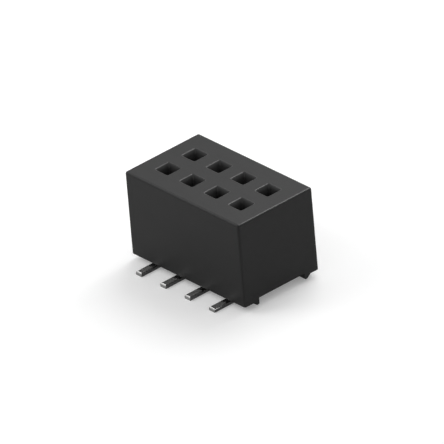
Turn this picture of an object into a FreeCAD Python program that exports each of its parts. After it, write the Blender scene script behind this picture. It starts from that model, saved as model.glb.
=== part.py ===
import FreeCAD, Part
import math
import os
import re
import Sketcher

# Two-row surface-mount socket header, in millimetres.
# X runs along the rows, Y across them and Z up. The origin is the centre of the
# part on the board, so the undersides of the solder tails lie at Z = 0.

# Driving dimensions: alias, value, meaning
DIMENSIONS = (
    ("pitch", 1.27, "contact to contact along a row"),
    ("row_spacing", 1.27, "front row to rear row"),
    ("contacts_per_row", 4, "contacts in each of the two rows"),
    ("end_margin", 1.05, "centre of the last contact to the end face"),
    ("side_margin", 1.13, "centre of a row to the long side face"),
    ("standoff", 0.25, "board to the lower edge of the long walls"),
    ("body_height", 3.32, "lower edge of the long walls to the mating face"),
    ("outer_edge_radius", 0.09, "rounding of the moulded outer edges"),
    ("recess_depth", 0.115, "height of the recess in the underside"),
    ("foot_drop", 0.13, "how far a foot stands below the long wall"),
    ("foot_length", 0.45, "foot along X, from the end face inward"),
    ("foot_width", 0.12, "flat underside of a foot along Y"),
    ("foot_flare", 0.165, "sloped outer flank of a foot along Y"),
    ("foot_rounding", 0.05, "rounding of the inner lower edge of a foot"),
    ("pin_size", 0.40, "side of the square mating pin"),
    ("pin_hole", 0.50, "side of the square hole for the pin"),
    ("mouth_size", 0.67, "side of the funnel above it, at the mating face"),
    ("funnel_depth", 0.16, "mating face to the lower end of the funnel"),
    ("hole_rounding", 0.05, "rounding of the corners of hole and funnel"),
    ("rim_rounding", 0.05, "rounding of the rim of the funnel"),
    ("cap_thickness", 0.50, "wall above the contact cavities"),
    ("sheet", 0.15, "thickness of the contact strip"),
    ("bend_radius", 0.12, "inner radius of the bend into the tail"),
    ("fold_radius", 0.05, "inner radius of the cradle folds"),
    ("tail_width", 0.30, "solder tail and stem along X"),
    ("tail_overhang", 0.645, "solder tail beyond the long side face"),
    ("tail_rounding", 0.065, "rolled edges on the upper side of the tail"),
    ("pin_play", 0.035, "pin to each side wall of the cradle"),
    ("back_play", 0.015, "pin to the back plate of the cradle"),
    ("cavity_play", 0.03, "cradle to each side wall of its cavity"),
    ("front_play", 0.13, "open edge of the cradle to the inner cavity wall"),
    ("recess_play", 0.08, "outer face of the stem to the side of the recess"),
    ("cradle_inset", 0.11, "recess ceiling to the lower edge of the cradle"),
    ("cradle_height", 0.70, "folded side walls of the cradle along Z"),
    ("beam_width", 0.30, "spring beam along Y"),
    ("beam_root", 0.12, "straight start of a spring beam"),
    ("throat_gap", 0.26, "gap between the beams where they grip the pin"),
    ("throat_radius", 0.15, "inner radius of the bend at the throat"),
    ("mouth_gap", 0.50, "gap between the tips of the beams"),
    ("flare_height", 0.38, "throat to the tips of the beams"),
    ("beam_play", 0.12, "tips of the beams to the cap"),
    ("spine_width", 0.37, "neck between cradle and retention head"),
    ("spine_height", 0.25, "length of that neck"),
    ("head_height", 0.15, "straight sides of the retention head"),
    ("head_taper", 0.30, "tapered top of the retention head along Z"),
    ("head_tip", 0.56, "width of the retention head at its top"),
)

# Places worked out from the driving dimensions
DERIVED = (
    ("body_length", "(contacts_per_row - 1) * pitch + 2 * end_margin"),
    ("body_width", "row_spacing + 2 * side_margin"),
    ("body_top", "standoff + body_height"),
    ("first_column", "-(contacts_per_row - 1) * pitch / 2"),
    ("row_offset", "row_spacing / 2"),
    ("recess_ceiling", "standoff + recess_depth"),
    ("cap_underside", "body_top - cap_thickness"),
    ("back_inner", "pin_size / 2 + back_play"),
    ("back_outer", "back_inner + sheet"),
    ("cradle_inner", "pin_size / 2 + pin_play"),
    ("cradle_outer", "cradle_inner + sheet"),
    ("cradle_front", "pin_size / 2"),
    ("cavity_half", "cradle_outer + cavity_play"),
    ("cavity_front", "cradle_front + front_play"),
    ("cradle_bottom", "recess_ceiling + cradle_inset"),
    ("cradle_top", "cradle_bottom + cradle_height"),
    ("recess_half", "row_offset + back_outer + recess_play"),
    ("tail_reach", "side_margin + tail_overhang"),
    ("beam_tip", "cap_underside - beam_play"),
)

# Smallest difference that counts when places or volumes are compared
TOLERANCE = 1e-6

doc = FreeCAD.newDocument("socket_header")
sheet = doc.addObject("Spreadsheet::Sheet", "Sizes")


def fill_sheet():
    """Write the driving dimensions and the places that follow from them."""
    row = 0
    for alias, value, meaning in DIMENSIONS:
        row += 1
        sheet.set(f"A{row}", alias)
        sheet.set(f"B{row}", str(value))
        sheet.set(f"C{row}", meaning)
        sheet.setAlias(f"B{row}", alias)
    for alias, formula in DERIVED:
        row += 1
        sheet.set(f"A{row}", alias)
        sheet.set(f"B{row}", f"={formula}")
        sheet.setAlias(f"B{row}", alias)
    doc.recompute()


def bound(formula):
    """Turn a formula in plain aliases into one that other objects can read."""
    return re.sub(r"([a-z]\w*)", r"Sizes.\1", formula)


def value_of(formula):
    return float(sheet.evalExpression(bound(formula)))


def origin_feature(body, role):
    return next(item for item in body.Origin.OriginFeatures if item.Role == role)


def add_sketch(body, name, plane, offset=None):
    """Start a sketch on an origin plane, moved along the plane's normal by a formula."""
    sketch = body.newObject("Sketcher::SketchObject", name)
    sketch.AttachmentSupport = (origin_feature(body, plane), "")
    sketch.MapMode = "FlatFace"
    if offset:
        sketch.setExpression("AttachmentOffset.Base.z", bound(offset))
    return sketch


def pin_point(sketch, geometry, position, across, upward):
    """Hold one point of a sketch at two formulas."""
    for kind, formula in (("DistanceX", across), ("DistanceY", upward)):
        number = sketch.addConstraint(
            Sketcher.Constraint(kind, geometry, position, value_of(formula)))
        sketch.setExpression(f"Constraints[{number}]", bound(formula))


def draw_outline(sketch, corners):
    """Draw a closed outline through corners (across, upward, radius or None)."""
    points = [FreeCAD.Vector(value_of(x), value_of(y), 0) for x, y, _ in corners]
    count = len(points)
    trims = []
    for index, (_, _, radius) in enumerate(corners):
        before = (points[index - 1] - points[index]).normalize()
        after = (points[(index + 1) % count] - points[index]).normalize()
        trim = 0.0
        if radius:
            half_angle = before.getAngle(after) / 2
            trim = value_of(radius) / math.tan(half_angle)
        trims.append((before, after, trim))
    lines = []
    for index in range(count):
        following = (index + 1) % count
        start = points[index] + trims[index][1] * trims[index][2]
        end = points[following] + trims[following][0] * trims[following][2]
        lines.append(sketch.addGeometry(Part.LineSegment(start, end), False))
    for index, (across, upward, radius) in enumerate(corners):
        incoming = lines[index - 1]
        outgoing = lines[index]
        if not radius:
            sketch.addConstraint(Sketcher.Constraint("Coincident", incoming, 2, outgoing, 1))
            pin_point(sketch, outgoing, 1, across, upward)
            continue
        before, after, trim = trims[index]
        size = value_of(radius)
        inward = (before + after).normalize()
        centre = points[index] + inward * math.hypot(size, trim)
        touch_in = points[index] + before * trim - centre
        touch_out = points[index] + after * trim - centre
        turns_left = before.cross(after).z < 0
        first, last = (touch_in, touch_out) if turns_left else (touch_out, touch_in)
        circle = Part.Circle(centre, FreeCAD.Vector(0, 0, 1), size)
        start_angle = math.atan2(first.y, first.x)
        end_angle = math.atan2(last.y, last.x)
        arc = sketch.addGeometry(Part.ArcOfCircle(circle, start_angle, end_angle), False)
        in_end, out_end = (1, 2) if turns_left else (2, 1)
        sketch.addConstraint(Sketcher.Constraint("Tangent", incoming, 2, arc, in_end))
        sketch.addConstraint(Sketcher.Constraint("Tangent", arc, out_end, outgoing, 1))
        number = sketch.addConstraint(Sketcher.Constraint("Radius", arc, size))
        sketch.setExpression(f"Constraints[{number}]", bound(radius))
        corner = sketch.addGeometry(Part.Point(points[index]), True)
        pin_point(sketch, corner, 1, across, upward)
        sketch.addConstraint(Sketcher.Constraint("PointOnObject", corner, 1, incoming))
        sketch.addConstraint(Sketcher.Constraint("PointOnObject", corner, 1, outgoing))


def draw_rectangle(sketch, left, right, low, high, radius=None):
    draw_outline(sketch, (
        (left, low, radius), (right, low, radius), (right, high, radius), (left, high, radius)))


def add_feature(body, kind, name, profile, length, midplane=False, turned=False):
    """Add a Pad or Pocket and check that it changed the volume of the body."""
    before = body.Shape.Volume if body.Tip and not body.Shape.isNull() else 0.0
    feature = body.newObject(f"PartDesign::{kind}", name)
    feature.Profile = profile
    feature.Reversed = turned
    if midplane:
        feature.SideType = "Symmetric"
    feature.setExpression("Length", bound(length))
    doc.recompute()
    if abs(body.Shape.Volume - before) < TOLERANCE:
        raise RuntimeError(f"{name} changed nothing")
    return feature


def round_edges(body, name, base, radius, is_chosen):
    """Round the edges of a feature that the given test picks."""
    edges = [f"Edge{number}" for number, edge in enumerate(base.Shape.Edges, 1)
             if is_chosen(edge.BoundBox)]
    rounding = body.newObject("PartDesign::Fillet", name)
    rounding.Base = (base, edges)
    rounding.setExpression("Radius", bound(radius))
    doc.recompute()


def draw_hole(sketch, row_side, size):
    """Draw the outline of the first pin hole of a row, at one of its sizes."""
    draw_rectangle(sketch, f"first_column - {size} / 2", f"first_column + {size} / 2",
                   f"{row_side} * row_offset - {size} / 2",
                   f"{row_side} * row_offset + {size} / 2", "hole_rounding")


def is_above_parting_edge(box):
    return box.ZMax > value_of("standoff") + TOLERANCE


def is_on_rim(box):
    """Pick the edges of the mating face, apart from those round the block itself."""
    along = value_of("body_length / 2 - outer_edge_radius") - TOLERANCE
    across = value_of("body_width / 2 - outer_edge_radius") - TOLERANCE
    return (box.ZMin > value_of("body_top") - TOLERANCE and box.XMin > -along
            and box.XMax < along and box.YMin > -across and box.YMax < across)


def is_on_tail_top(box):
    height = value_of("sheet")
    return abs(box.ZMin - height) < TOLERANCE and abs(box.ZMax - height) < TOLERANCE


# Housing: one moulded block with cavities open to the underside


def make_housing():
    body = doc.addObject("PartDesign::Body", "housing")
    body.Label = "housing"

    # Block with rounded outer edges, apart from the sharp parting edge underneath
    outline = add_sketch(body, "BlockOutline", "XY_Plane", "standoff")
    draw_rectangle(outline, "-body_length / 2", "body_length / 2",
                   "-body_width / 2", "body_width / 2")
    block = add_feature(body, "Pad", "Block", outline, "body_height")
    round_edges(body, "OuterRounding", block, "outer_edge_radius", is_above_parting_edge)

    # Recess along the underside, open at both ends
    channel = add_sketch(body, "RecessOutline", "XY_Plane", "standoff")
    draw_rectangle(channel, "-body_length / 2", "body_length / 2",
                   "-recess_half", "recess_half")
    add_feature(body, "Pocket", "Recess", channel, "recess_depth", turned=True)

    # Feet at the ends of both long walls, flush with the end faces
    feet = add_sketch(body, "FeetOutline", "YZ_Plane", "body_length / 2 - foot_length")
    for side in ("-1", "1"):
        inner = f"{side} * recess_half"
        flat = f"{side} * (recess_half + foot_width)"
        outer = f"{side} * (recess_half + foot_width + foot_flare)"
        draw_outline(feet, (
            (inner, "standoff", None), (inner, "standoff - foot_drop", "foot_rounding"),
            (flat, "standoff - foot_drop", None), (outer, "standoff", None)))
    near_feet = add_feature(body, "Pad", "RightFeet", feet, "foot_length")
    far_feet = body.newObject("PartDesign::Mirrored", "LeftFeet")
    far_feet.Originals = [near_feet]
    far_feet.MirrorPlane = (origin_feature(body, "YZ_Plane"), [""])
    body.Tip = far_feet
    doc.recompute()

    # One column: in each row a pin hole, its funnel and the cavity for the contact
    hole = add_sketch(body, "PinHoleOutline", "XY_Plane", "body_top")
    cavity = add_sketch(body, "CavityOutline", "XY_Plane", "recess_ceiling")
    for side in ("-1", "1"):
        draw_hole(hole, side, "pin_hole")
        draw_rectangle(cavity, "first_column - cavity_half", "first_column + cavity_half",
                       f"{side} * (row_offset - cavity_front)",
                       f"{side} * (row_offset + back_outer)")
    column = [add_feature(body, "Pocket", "PinHoles", hole, "cap_thickness + funnel_depth")]
    for row_name, side in (("Front", "-1"), ("Rear", "1")):
        mouth = add_sketch(body, f"{row_name}Mouth", "XY_Plane", "body_top")
        draw_hole(mouth, side, "mouth_size")
        throat = add_sketch(body, f"{row_name}Throat", "XY_Plane", "body_top - funnel_depth")
        draw_hole(throat, side, "pin_hole")
        funnel = body.newObject("PartDesign::SubtractiveLoft", f"{row_name}Funnel")
        funnel.Profile = mouth
        funnel.Sections = [throat]
        funnel.Ruled = True
        column.append(funnel)
        doc.recompute()
    column.append(add_feature(body, "Pocket", "Cavities", cavity,
                              "cap_underside - recess_ceiling", turned=True))

    # The column repeated along the rows
    columns = body.newObject("PartDesign::LinearPattern", "Columns")
    columns.Originals = column
    columns.Direction = (origin_feature(body, "X_Axis"), [""])
    columns.Mode = "Spacing"
    columns.setExpression("Offset", bound("pitch"))
    columns.setExpression("Occurrences", bound("contacts_per_row"))
    body.Tip = columns
    doc.recompute()
    round_edges(body, "RimRounding", columns, "rim_rounding", is_on_rim)
    return body


# Contact: one folded strip, drawn about the axis of its pin with the tail towards -Y


def make_contact(label, column, row_side):
    body = doc.addObject("PartDesign::Body", label)
    body.Label = label

    # Tail, bend and stem in one thickness of strip
    stem = add_sketch(body, "StemProfile", "YZ_Plane")
    draw_outline(stem, (
        ("-tail_reach", "0", None),
        ("-back_inner", "0", "bend_radius + sheet"),
        ("-back_inner", "cradle_bottom", None),
        ("-back_outer", "cradle_bottom", None),
        ("-back_outer", "sheet", "bend_radius"),
        ("-tail_reach", "sheet", None)))
    strip = add_feature(body, "Pad", "Stem", stem, "tail_width", midplane=True)
    round_edges(body, "RolledEdges", strip, "tail_rounding", is_on_tail_top)

    # Cradle: back plate with both side walls folded round the pin
    cradle = add_sketch(body, "CradleSection", "XY_Plane", "cradle_bottom")
    draw_outline(cradle, (
        ("-cradle_outer", "cradle_front", None),
        ("-cradle_outer", "-back_outer", "fold_radius + sheet"),
        ("cradle_outer", "-back_outer", "fold_radius + sheet"),
        ("cradle_outer", "cradle_front", None),
        ("cradle_inner", "cradle_front", None),
        ("cradle_inner", "-back_inner", "fold_radius"),
        ("-cradle_inner", "-back_inner", "fold_radius"),
        ("-cradle_inner", "cradle_front", None)))
    add_feature(body, "Pad", "Cradle", cradle, "cradle_height")

    # Spring beams that lean in to the throat and flare out again above it
    beams = add_sketch(body, "BeamProfiles", "XZ_Plane")
    for side in ("-1", "1"):
        draw_outline(beams, (
            (f"{side} * cradle_inner", "cradle_top", None),
            (f"{side} * cradle_inner", "cradle_top + beam_root", None),
            (f"{side} * throat_gap / 2", "beam_tip - flare_height", "throat_radius + sheet"),
            (f"{side} * mouth_gap / 2", "beam_tip", None),
            (f"{side} * (mouth_gap / 2 + sheet)", "beam_tip", None),
            (f"{side} * (throat_gap / 2 + sheet)", "beam_tip - flare_height", "throat_radius"),
            (f"{side} * cradle_outer", "cradle_top + beam_root", None),
            (f"{side} * cradle_outer", "cradle_top", None)))
    add_feature(body, "Pad", "Beams", beams, "beam_width", midplane=True)

    # Retention head on a neck above the back plate, as wide as the cavity
    head = add_sketch(body, "HeadOutline", "XZ_Plane", "back_inner")
    neck_top = "cradle_top + spine_height"
    shoulder = f"{neck_top} + head_height"
    crown = f"{shoulder} + head_taper"
    draw_outline(head, (
        ("-spine_width / 2", "cradle_top", None), ("spine_width / 2", "cradle_top", None),
        ("spine_width / 2", neck_top, None), ("cavity_half", neck_top, None),
        ("cavity_half", shoulder, None), ("head_tip / 2", crown, None),
        ("-head_tip / 2", crown, None), ("-cavity_half", shoulder, None),
        ("-cavity_half", neck_top, None), ("-spine_width / 2", neck_top, None)))
    add_feature(body, "Pad", "Head", head, "sheet")

    # Place in the housing: the rear row is turned half a turn about its pin axis
    body.setExpression("Placement.Base.x", bound(f"first_column + {column} * pitch"))
    body.setExpression("Placement.Base.y", bound(f"{row_side} * row_offset"))
    if row_side > 0:
        body.Placement.Rotation = FreeCAD.Rotation(FreeCAD.Vector(0, 0, 1), 180)
    doc.recompute()
    return body


def check_document(parts):
    """Stop if any object failed or a sub-part has no sound solid."""
    for item in doc.Objects:
        if "Invalid" in item.State or "Error" in item.State:
            raise RuntimeError(f"{item.Name} failed: {item.State}")
    for part in parts:
        if part.Shape.isNull() or not part.Shape.isValid() or len(part.Shape.Solids) != 1:
            raise RuntimeError(f"{part.Label} is not one sound solid")


fill_sheet()
parts = [make_housing()]
for row_name, row_side in (("front", -1), ("rear", 1)):
    for column in range(round(value_of("contacts_per_row"))):
        parts.append(make_contact(f"contact_{row_name}_{column + 1}", column, row_side))

check_document(parts)
os.makedirs("parts", exist_ok=True)
for part in parts:
    part.Shape.exportStep(f"parts/{part.Label}.step")
    box = part.Shape.BoundBox
    print(f"{part.Label}: {part.Shape.Volume:.4f} mm3, "
          f"{box.XLength:.3f} x {box.YLength:.3f} x {box.ZLength:.3f} mm")
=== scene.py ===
import math

import bmesh
import bpy
from mathutils import Matrix, Vector


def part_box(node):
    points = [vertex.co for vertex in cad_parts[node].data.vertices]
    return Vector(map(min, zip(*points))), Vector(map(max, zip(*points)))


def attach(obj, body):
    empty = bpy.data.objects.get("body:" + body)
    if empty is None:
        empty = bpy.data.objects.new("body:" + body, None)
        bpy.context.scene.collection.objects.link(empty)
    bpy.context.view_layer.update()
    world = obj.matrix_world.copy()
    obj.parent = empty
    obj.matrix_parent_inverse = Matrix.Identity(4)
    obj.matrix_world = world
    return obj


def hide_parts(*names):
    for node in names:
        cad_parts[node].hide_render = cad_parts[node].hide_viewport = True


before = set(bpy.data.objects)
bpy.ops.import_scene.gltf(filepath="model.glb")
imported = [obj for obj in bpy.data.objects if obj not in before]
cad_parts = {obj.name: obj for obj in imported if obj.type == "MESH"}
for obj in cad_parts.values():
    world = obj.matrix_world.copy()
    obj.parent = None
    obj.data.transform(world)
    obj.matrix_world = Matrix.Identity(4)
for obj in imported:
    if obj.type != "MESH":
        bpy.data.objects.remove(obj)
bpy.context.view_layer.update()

# Two-row surface-mount socket header on a pale floor.
# Lengths are in metres, and mm is one millimetre.
mm = 0.001
print("frame loaded:", len(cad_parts), "pieces")


# Camera, at the photograph's viewing angle

cameraView = {
    "azimuth": 50.0,           # degrees round from the front
    "elevation": 30.0,         # degrees above the board
    "roll": 5.0,               # degrees, upright edges lean to the left
    "frameWidth": 15.59 * mm,  # what the picture spans at the target
    "target": (-0.609 * mm, 0.517 * mm, 1.372 * mm),
    "lens": 1600.0,            # long, so that parallel edges stay parallel
    "sensor": 36.0,
    "clip": (0.5, 1.5),        # shares of the distance, between which things are seen
}


def makeCamera():
    v = cameraView
    data = bpy.data.cameras.new("camera")
    data.lens = v["lens"]
    data.sensor_width = v["sensor"]
    data.dof.use_dof = False
    camera = bpy.data.objects.new("camera", data)
    bpy.context.scene.collection.objects.link(camera)
    around = math.radians(v["azimuth"])
    above = math.radians(v["elevation"])
    back = Vector((math.sin(around) * math.cos(above),
                   -math.cos(around) * math.cos(above),
                   math.sin(above)))
    distance = v["frameWidth"] * v["lens"] / v["sensor"]
    turn = (-back).to_track_quat("-Z", "Y").to_matrix()
    roll = Matrix.Rotation(math.radians(-v["roll"]), 3, "Z")
    place = (turn @ roll).to_4x4()
    place.translation = Vector(v["target"]) + back * distance
    camera.matrix_world = place
    data.clip_start, data.clip_end = [distance * share for share in v["clip"]]
    bpy.context.scene.camera = camera


makeCamera()
print("camera placed")


# Nodes shared by the floor, the world and the materials


def addNode(tree, kind, **values):
    node = tree.nodes.new(kind)
    for name, value in values.items():
        setattr(node, name, value)
    return node


def seenOutright(tree):
    # 1 for camera, glossy and transmission rays, which see the background as it looks
    path = addNode(tree, "ShaderNodeLightPath")
    first = addNode(tree, "ShaderNodeMath", operation="MAXIMUM")
    second = addNode(tree, "ShaderNodeMath", operation="MAXIMUM")
    tree.links.new(path.outputs["Is Camera Ray"], first.inputs[0])
    tree.links.new(path.outputs["Is Glossy Ray"], first.inputs[1])
    tree.links.new(first.outputs[0], second.inputs[0])
    tree.links.new(path.outputs["Is Transmission Ray"], second.inputs[1])
    return second.outputs[0]


# Floor, light and background

studio = {
    "floorColour": (0.88, 0.88, 0.88, 1.0),
    "floorLift": 0.20,         # what is seen outright on top of the lit floor
    "floorHalf": 60 * mm,
    "ambient": 0.60,           # even light from all round
    "lampDistance": 60 * mm,
    "lampSize": 34 * mm,
    "lampPower": 0.03,         # watts at a share of 1
}

# Each lamp: where it stands, seen from the object, and its share of the lamp power
lamps = {
    "above": ((-0.24, 0.56, 0.79), 0.32),
    "behind": ((0.0, 0.8, 0.6), 0.21),
    "frontLeft": ((-0.5, -0.6, 0.62), 0.275),
    "behindRight": ((0.6, 0.6, 0.5), 0.045),
    "behindLeft": ((-0.663, 0.557, 0.5), 0.06),
}

# Lamps that give no diffuse light, and show only as a glint on surfaces turned towards them
glints = {
    "endGlint": ((0.07, 0.56, 0.83), 1.4),
    "frontGlint": ((-0.66, -0.12, 0.74), 0.28),
}


def makeFloor():
    bm = bmesh.new()
    bmesh.ops.create_grid(bm, x_segments=1, y_segments=1, size=studio["floorHalf"])
    mesh = bpy.data.meshes.new("floor")
    bm.to_mesh(mesh)
    bm.free()
    floor = bpy.data.objects.new("floor", mesh)
    bpy.context.scene.collection.objects.link(floor)
    material = bpy.data.materials.new("palePaper")
    material.use_nodes = True
    tree = material.node_tree
    tree.nodes.clear()
    paper = addNode(tree, "ShaderNodeBsdfDiffuse")
    paper.inputs["Color"].default_value = studio["floorColour"]
    glow = addNode(tree, "ShaderNodeEmission")
    glow.inputs["Strength"].default_value = studio["floorLift"]
    lifted = addNode(tree, "ShaderNodeAddShader")
    choose = addNode(tree, "ShaderNodeMixShader")
    under = addNode(tree, "ShaderNodeNewGeometry")
    clear = addNode(tree, "ShaderNodeBsdfTransparent")
    sides = addNode(tree, "ShaderNodeMixShader")
    output = addNode(tree, "ShaderNodeOutputMaterial")
    link = tree.links.new
    link(paper.outputs[0], lifted.inputs[0])
    link(glow.outputs[0], lifted.inputs[1])
    link(seenOutright(tree), choose.inputs[0])
    link(paper.outputs[0], choose.inputs[1])
    link(lifted.outputs[0], choose.inputs[2])
    link(under.outputs["Backfacing"], sides.inputs[0])
    link(choose.outputs[0], sides.inputs[1])
    link(clear.outputs[0], sides.inputs[2])
    link(sides.outputs[0], output.inputs["Surface"])
    floor.data.materials.append(material)


def makeWorld():
    world = bpy.data.worlds.new("studio")
    world.use_nodes = True
    bpy.context.scene.world = world
    tree = world.node_tree
    tree.nodes.clear()
    ambient = addNode(tree, "ShaderNodeBackground")
    white = addNode(tree, "ShaderNodeBackground")
    for background in (ambient, white):
        background.inputs["Color"].default_value = (1.0, 1.0, 1.0, 1.0)
    ambient.inputs["Strength"].default_value = studio["ambient"]
    choose = addNode(tree, "ShaderNodeMixShader")
    output = addNode(tree, "ShaderNodeOutputWorld")
    link = tree.links.new
    link(seenOutright(tree), choose.inputs[0])
    link(ambient.outputs[0], choose.inputs[1])
    link(white.outputs[0], choose.inputs[2])
    link(choose.outputs[0], output.inputs["Surface"])


def makeLamp(name, toward, share):
    data = bpy.data.lights.new(name, "AREA")
    data.shape = "DISK"
    data.size = studio["lampSize"]
    data.energy = studio["lampPower"] * share
    lamp = bpy.data.objects.new(name, data)
    bpy.context.scene.collection.objects.link(lamp)
    direction = Vector(toward).normalized()
    place = (-direction).to_track_quat("-Z", "Y").to_matrix().to_4x4()
    place.translation = direction * studio["lampDistance"]
    lamp.matrix_world = place
    return lamp


bpy.context.scene.view_settings.view_transform = "Standard"
makeFloor()
makeWorld()
for name, (toward, share) in lamps.items():
    makeLamp(name, toward, share)
for name, (toward, share) in glints.items():
    makeLamp(name, toward, share).visible_diffuse = False
print("studio ready")


# Patterns in the surface, placed in the object's own coordinates


def addNoise(tree, perMm, detail, coarseness, distortion=0.0, shift=0.0):
    place = addNode(tree, "ShaderNodeTexCoord")
    spread = addNode(tree, "ShaderNodeMapping")
    spread.inputs["Scale"].default_value = [count / mm for count in perMm]
    spread.inputs["Location"].default_value = (shift, shift, shift)
    noise = addNode(tree, "ShaderNodeTexNoise")
    noise.inputs["Scale"].default_value = 1.0
    noise.inputs["Detail"].default_value = detail
    noise.inputs["Roughness"].default_value = coarseness
    noise.inputs["Distortion"].default_value = distortion
    tree.links.new(place.outputs["Object"], spread.inputs["Vector"])
    tree.links.new(spread.outputs["Vector"], noise.inputs["Vector"])
    return noise.outputs["Fac"]


def remap(tree, value, before, after):
    change = addNode(tree, "ShaderNodeMapRange")
    change.inputs["From Min"].default_value, change.inputs["From Max"].default_value = before
    change.inputs["To Min"].default_value, change.inputs["To Max"].default_value = after
    tree.links.new(value, change.inputs["Value"])
    return change.outputs["Result"]


def mixed(tree, kind, factor, first, second):
    # The Mix node has a pair of sockets A and B for each kind of value
    mix = addNode(tree, "ShaderNodeMix", data_type=kind)
    wanted = "RGBA" if kind == "RGBA" else "VALUE"
    pair = [socket for socket in mix.inputs if socket.name in ("A", "B") and socket.type == wanted]
    for socket, source in zip(pair, (first, second)):
        if isinstance(source, bpy.types.NodeSocket):
            tree.links.new(source, socket)
        else:
            socket.default_value = source
    tree.links.new(factor, mix.inputs["Factor"])
    return next(socket for socket in mix.outputs if socket.type == wanted)


def addBump(tree, height, depth, below=None):
    bump = addNode(tree, "ShaderNodeBump")
    bump.inputs["Distance"].default_value = depth
    tree.links.new(height, bump.inputs["Height"])
    if below:
        tree.links.new(below, bump.inputs["Normal"])
    return bump.outputs["Normal"]


def turnedMask(tree, squareOn, fullyTurned):
    # 0 on faces square to an axis, rising to 1 on roundings and chamfers turned away from them
    place = addNode(tree, "ShaderNodeTexCoord")
    size = addNode(tree, "ShaderNodeVectorMath", operation="ABSOLUTE")
    parts = addNode(tree, "ShaderNodeSeparateXYZ")
    wider = addNode(tree, "ShaderNodeMath", operation="MAXIMUM")
    widest = addNode(tree, "ShaderNodeMath", operation="MAXIMUM")
    link = tree.links.new
    link(place.outputs["Normal"], size.inputs[0])
    link(size.outputs["Vector"], parts.inputs[0])
    link(parts.outputs["X"], wider.inputs[0])
    link(parts.outputs["Y"], wider.inputs[1])
    link(wider.outputs[0], widest.inputs[0])
    link(parts.outputs["Z"], widest.inputs[1])
    return remap(tree, widest.outputs[0], (squareOn, fullyTurned), (0.0, 1.0))


# Black moulding: fine-grained, with faint flow streaks and rubbed edges

blackMoulding = {
    "flow": {"perMm": (0.5, 1.4, 1.9), "detail": 4.0, "coarseness": 0.55, "distortion": 0.8},
    "flowRange": (0.35, 0.65),    # of the pattern, from no streak to a full one
    "streakColour": (0.0135, 0.0135, 0.0135, 1.0),
    "roughness": (0.42, 0.50),    # off a streak and on it
    "rubbedRange": (0.99, 0.80),  # how squarely unrubbed and fully rubbed faces face an axis
    "grain": {"perMm": (26.0, 26.0, 26.0), "detail": 3.0, "coarseness": 0.6, "shift": 4.0},
    "grainDepth": 0.0016 * mm,
}

# Each surface of the moulding: its colour, its rubbed colour and roughness, and its gloss
mouldingSurfaces = {
    "outerSkin": ((0.0110, 0.0110, 0.0110, 1.0), (0.0150, 0.0150, 0.0150, 1.0), 0.27, 0.13),
    # Hole rims and walls are painted lighter than the skin: a painted highlight on the rims and
    # painted light in the holes' shade
    "holeRimPaintedHighlight": ((0.0340, 0.0340, 0.0340, 1.0), (0.0340, 0.0340, 0.0340, 1.0), 0.27, 0.17),
    "holeWallPaintedLight": ((0.0340, 0.0340, 0.0340, 1.0), (0.0340, 0.0340, 0.0340, 1.0), 0.50, 0.15),
}


def makeMoulding(name, colour, rubbedColour, rubbedRoughness, gloss):
    m = blackMoulding
    material = bpy.data.materials.new(name)
    material.use_nodes = True
    tree = material.node_tree
    shader = tree.nodes["Principled BSDF"]
    shader.inputs["Specular IOR Level"].default_value = gloss
    streaks = remap(tree, addNoise(tree, **m["flow"]), m["flowRange"], (0.0, 1.0))
    rubbed = turnedMask(tree, *m["rubbedRange"])
    body = mixed(tree, "RGBA", streaks, colour, m["streakColour"])
    surface = mixed(tree, "RGBA", rubbed, body, rubbedColour)
    dullness = remap(tree, streaks, (0.0, 1.0), m["roughness"])
    roughness = mixed(tree, "FLOAT", rubbed, dullness, rubbedRoughness)
    grain = addNoise(tree, **m["grain"])
    tree.links.new(surface, shader.inputs["Base Color"])
    tree.links.new(roughness, shader.inputs["Roughness"])
    tree.links.new(addBump(tree, grain, m["grainDepth"]), shader.inputs["Normal"])
    return material


# Contact strip: tin plate with rolling lines and dull patches, and bare metal where it was cut,
# painted darker there as shade

strip = {
    "patches": {"perMm": (3.2, 3.2, 3.2), "detail": 5.0, "coarseness": 0.6, "distortion": 0.6},
    "patchRange": (0.38, 0.66),  # of the pattern, from no patch to a full one
    "lines": {"perMm": (75.0, 1.6, 1.6), "detail": 2.0, "coarseness": 0.5, "shift": 9.0},
    "lineDepth": 0.0008 * mm,
    "grain": {"perMm": (70.0, 70.0, 70.0), "detail": 2.0, "coarseness": 0.5, "shift": 2.0},
    "grainDepth": 0.0004 * mm,
}

# Each surface of the strip: its colour, its dull patches' colour, and the roughness of both
stripSurfaces = {
    "tinPlate": ((0.72, 0.72, 0.715, 1.0), (0.56, 0.56, 0.555, 1.0), (0.14, 0.26)),
    # The sheared sides and cut ends are bare metal, their colour also darkened as painted shade
    # for the dark reflections they show
    "shearedSideAndPaintedShade": ((0.09, 0.09, 0.09, 1.0), (0.055, 0.055, 0.055, 1.0), (0.38, 0.50)),
    "cutEndAndPaintedShade": ((0.26, 0.26, 0.258, 1.0), (0.21, 0.21, 0.208, 1.0), (0.40, 0.50)),
}


def makeStripMetal(name, colour, dullColour, roughness):
    material = bpy.data.materials.new(name)
    material.use_nodes = True
    tree = material.node_tree
    shader = tree.nodes["Principled BSDF"]
    shader.inputs["Metallic"].default_value = 1.0
    patches = remap(tree, addNoise(tree, **strip["patches"]), strip["patchRange"], (0.0, 1.0))
    lines = addNoise(tree, **strip["lines"])
    grain = addNoise(tree, **strip["grain"])
    rolled = addBump(tree, lines, strip["lineDepth"])
    tree.links.new(mixed(tree, "RGBA", patches, colour, dullColour), shader.inputs["Base Color"])
    tree.links.new(remap(tree, patches, (0.0, 1.0), roughness), shader.inputs["Roughness"])
    tree.links.new(addBump(tree, grain, strip["grainDepth"], rolled), shader.inputs["Normal"])
    return material


mouldings = [makeMoulding(name, *surface) for name, surface in mouldingSurfaces.items()]
stripMetals = [makeStripMetal(name, *surface) for name, surface in stripSurfaces.items()]
print("materials made")


# Pieces: merged copies of the solids with sharp edges broken

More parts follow.
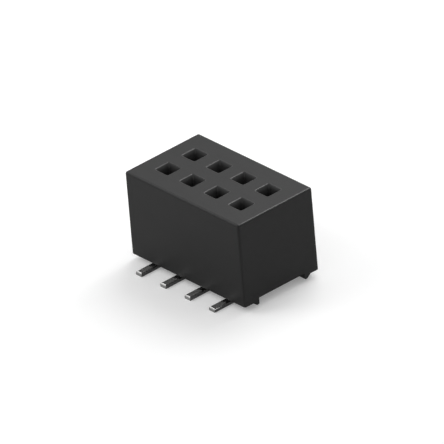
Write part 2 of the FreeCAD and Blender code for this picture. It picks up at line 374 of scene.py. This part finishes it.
brokenEdge = {
    "mergeGap": 0.0001 * mm,   # below which corners are one
    "flatWithin": 0.5,         # degrees between faces that are one plane
    "smoothUpTo": 45.0,        # degrees between faces that shade as one
    "segments": 3,             # across a broken edge
}


def mergedCopy(nodeName):
    bm = bmesh.new()
    bm.from_mesh(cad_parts[nodeName].data)
    bmesh.ops.remove_doubles(bm, verts=bm.verts, dist=brokenEdge["mergeGap"])
    bmesh.ops.dissolve_limit(bm, angle_limit=math.radians(brokenEdge["flatWithin"]),
                             verts=bm.verts, edges=bm.edges)
    return bm


def breakEdges(bm, width, sharpFrom, chosen):
    sharp = math.radians(sharpFrom)
    edges = [edge for edge in bm.edges if edge.calc_face_angle(0.0) > sharp and chosen(edge)]
    bmesh.ops.bevel(bm, geom=edges, offset=width, offset_type="OFFSET", affect="EDGES",
                    segments=brokenEdge["segments"], profile=0.5, material=-1,
                    clamp_overlap=False)


def finishPiece(bm, name, nodeName, materials):
    smooth = math.radians(brokenEdge["smoothUpTo"])
    for face in bm.faces:
        face.smooth = True
    for edge in bm.edges:
        edge.smooth = edge.calc_face_angle(0.0) < smooth
    mesh = bpy.data.meshes.new(name)
    bm.to_mesh(mesh)
    bm.free()
    for material in materials:
        mesh.materials.append(material)
    piece = bpy.data.objects.new(name, mesh)
    bpy.context.scene.collection.objects.link(piece)
    weighted = piece.modifiers.new("faceWeighted", "WEIGHTED_NORMAL")
    weighted.keep_sharp = True
    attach(piece, "root")
    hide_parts(nodeName)


# Housing

mouldedHousing = {
    "edgeWidth": 0.008 * mm,      # of the break along each sharp edge underneath
    "sharpFrom": 60.0,            # degrees between faces at a sharp edge
    "underside": 0.40 * mm,       # above the board, below which feet and recess lie
    "holeDepth": 1.2 * mm,        # below the mating face, as far as light reaches
    "holeInset": 0.20 * mm,       # from the outer sides, past which a wall is a hole's
    "rimUpwards": (0.72, 0.999),  # how squarely a rim faces up, between wall and mating face
}


# Gives each hole's rim and wall faces the mouldings painted lighter, as painted highlight and
# painted light in shade
def markHoles(bm):
    h = mouldedHousing
    wallEnds, rimEnds = h["rimUpwards"]
    rim, wall = [list(mouldingSurfaces).index(name) for name in ("holeRimPaintedHighlight", "holeWallPaintedLight")]
    low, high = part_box("housing")
    for face in bm.faces:
        place = face.calc_center_median()
        inset = min(min(place[axis] - low[axis], high[axis] - place[axis]) for axis in (0, 1))
        deep = place.z < high.z - h["holeDepth"]
        if inset > h["holeInset"] and not deep and face.normal.z < rimEnds:
            face.material_index = rim if face.normal.z > wallEnds else wall


def makeHousing():
    h = mouldedHousing

    def isUnderneath(edge):
        return max(vertex.co.z for vertex in edge.verts) < h["underside"]

    bm = mergedCopy("housing")
    breakEdges(bm, h["edgeWidth"], h["sharpFrom"], isUnderneath)
    markHoles(bm)
    finishPiece(bm, "mouldedHousing", "housing", mouldings)


# Contacts

stampedContact = {
    "edgeWidth": 0.008 * mm,   # of the break along each sharp edge
    "sharpFrom": 30.0,         # degrees between faces at a sharp edge
    "stemHeight": 0.47 * mm,   # above the board, below the cradle folded round the pin
    "tipLength": 0.07 * mm,    # where the tail is rounded off at its tip
    "sidewards": 0.9,          # how squarely a sheared side faces along the row
    "endwards": 0.3,           # and the cut end along the tail
}


def markCutFaces(bm):
    # The sides of the stem and tail were sheared, and the tail's tip was cut off its carrier;
    # these faces get the bare metals darkened with painted shade
    c = stampedContact
    side, end = [list(stripSurfaces).index(name) for name in ("shearedSideAndPaintedShade", "cutEndAndPaintedShade")]
    tip = max((vertex.co.y for vertex in bm.verts), key=abs)
    for face in bm.faces:
        place = face.calc_center_median()
        outwards = face.normal.y * math.copysign(1.0, tip)
        if abs(face.normal.x) > c["sidewards"] and place.z < c["stemHeight"]:
            face.material_index = side
        elif outwards > c["endwards"] and abs(place.y - tip) < c["tipLength"]:
            face.material_index = end


def makeContact(nodeName):
    c = stampedContact
    bm = mergedCopy(nodeName)
    breakEdges(bm, c["edgeWidth"], c["sharpFrom"], lambda edge: True)
    markCutFaces(bm)
    row, number = nodeName.split("_")[1:]
    name = "stampedContact" + row.capitalize() + number
    finishPiece(bm, name, nodeName, stripMetals)


makeHousing()
print("housing made")
for nodeName in sorted(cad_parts):
    if nodeName.startswith("contact_"):
        makeContact(nodeName)
print("contacts made")
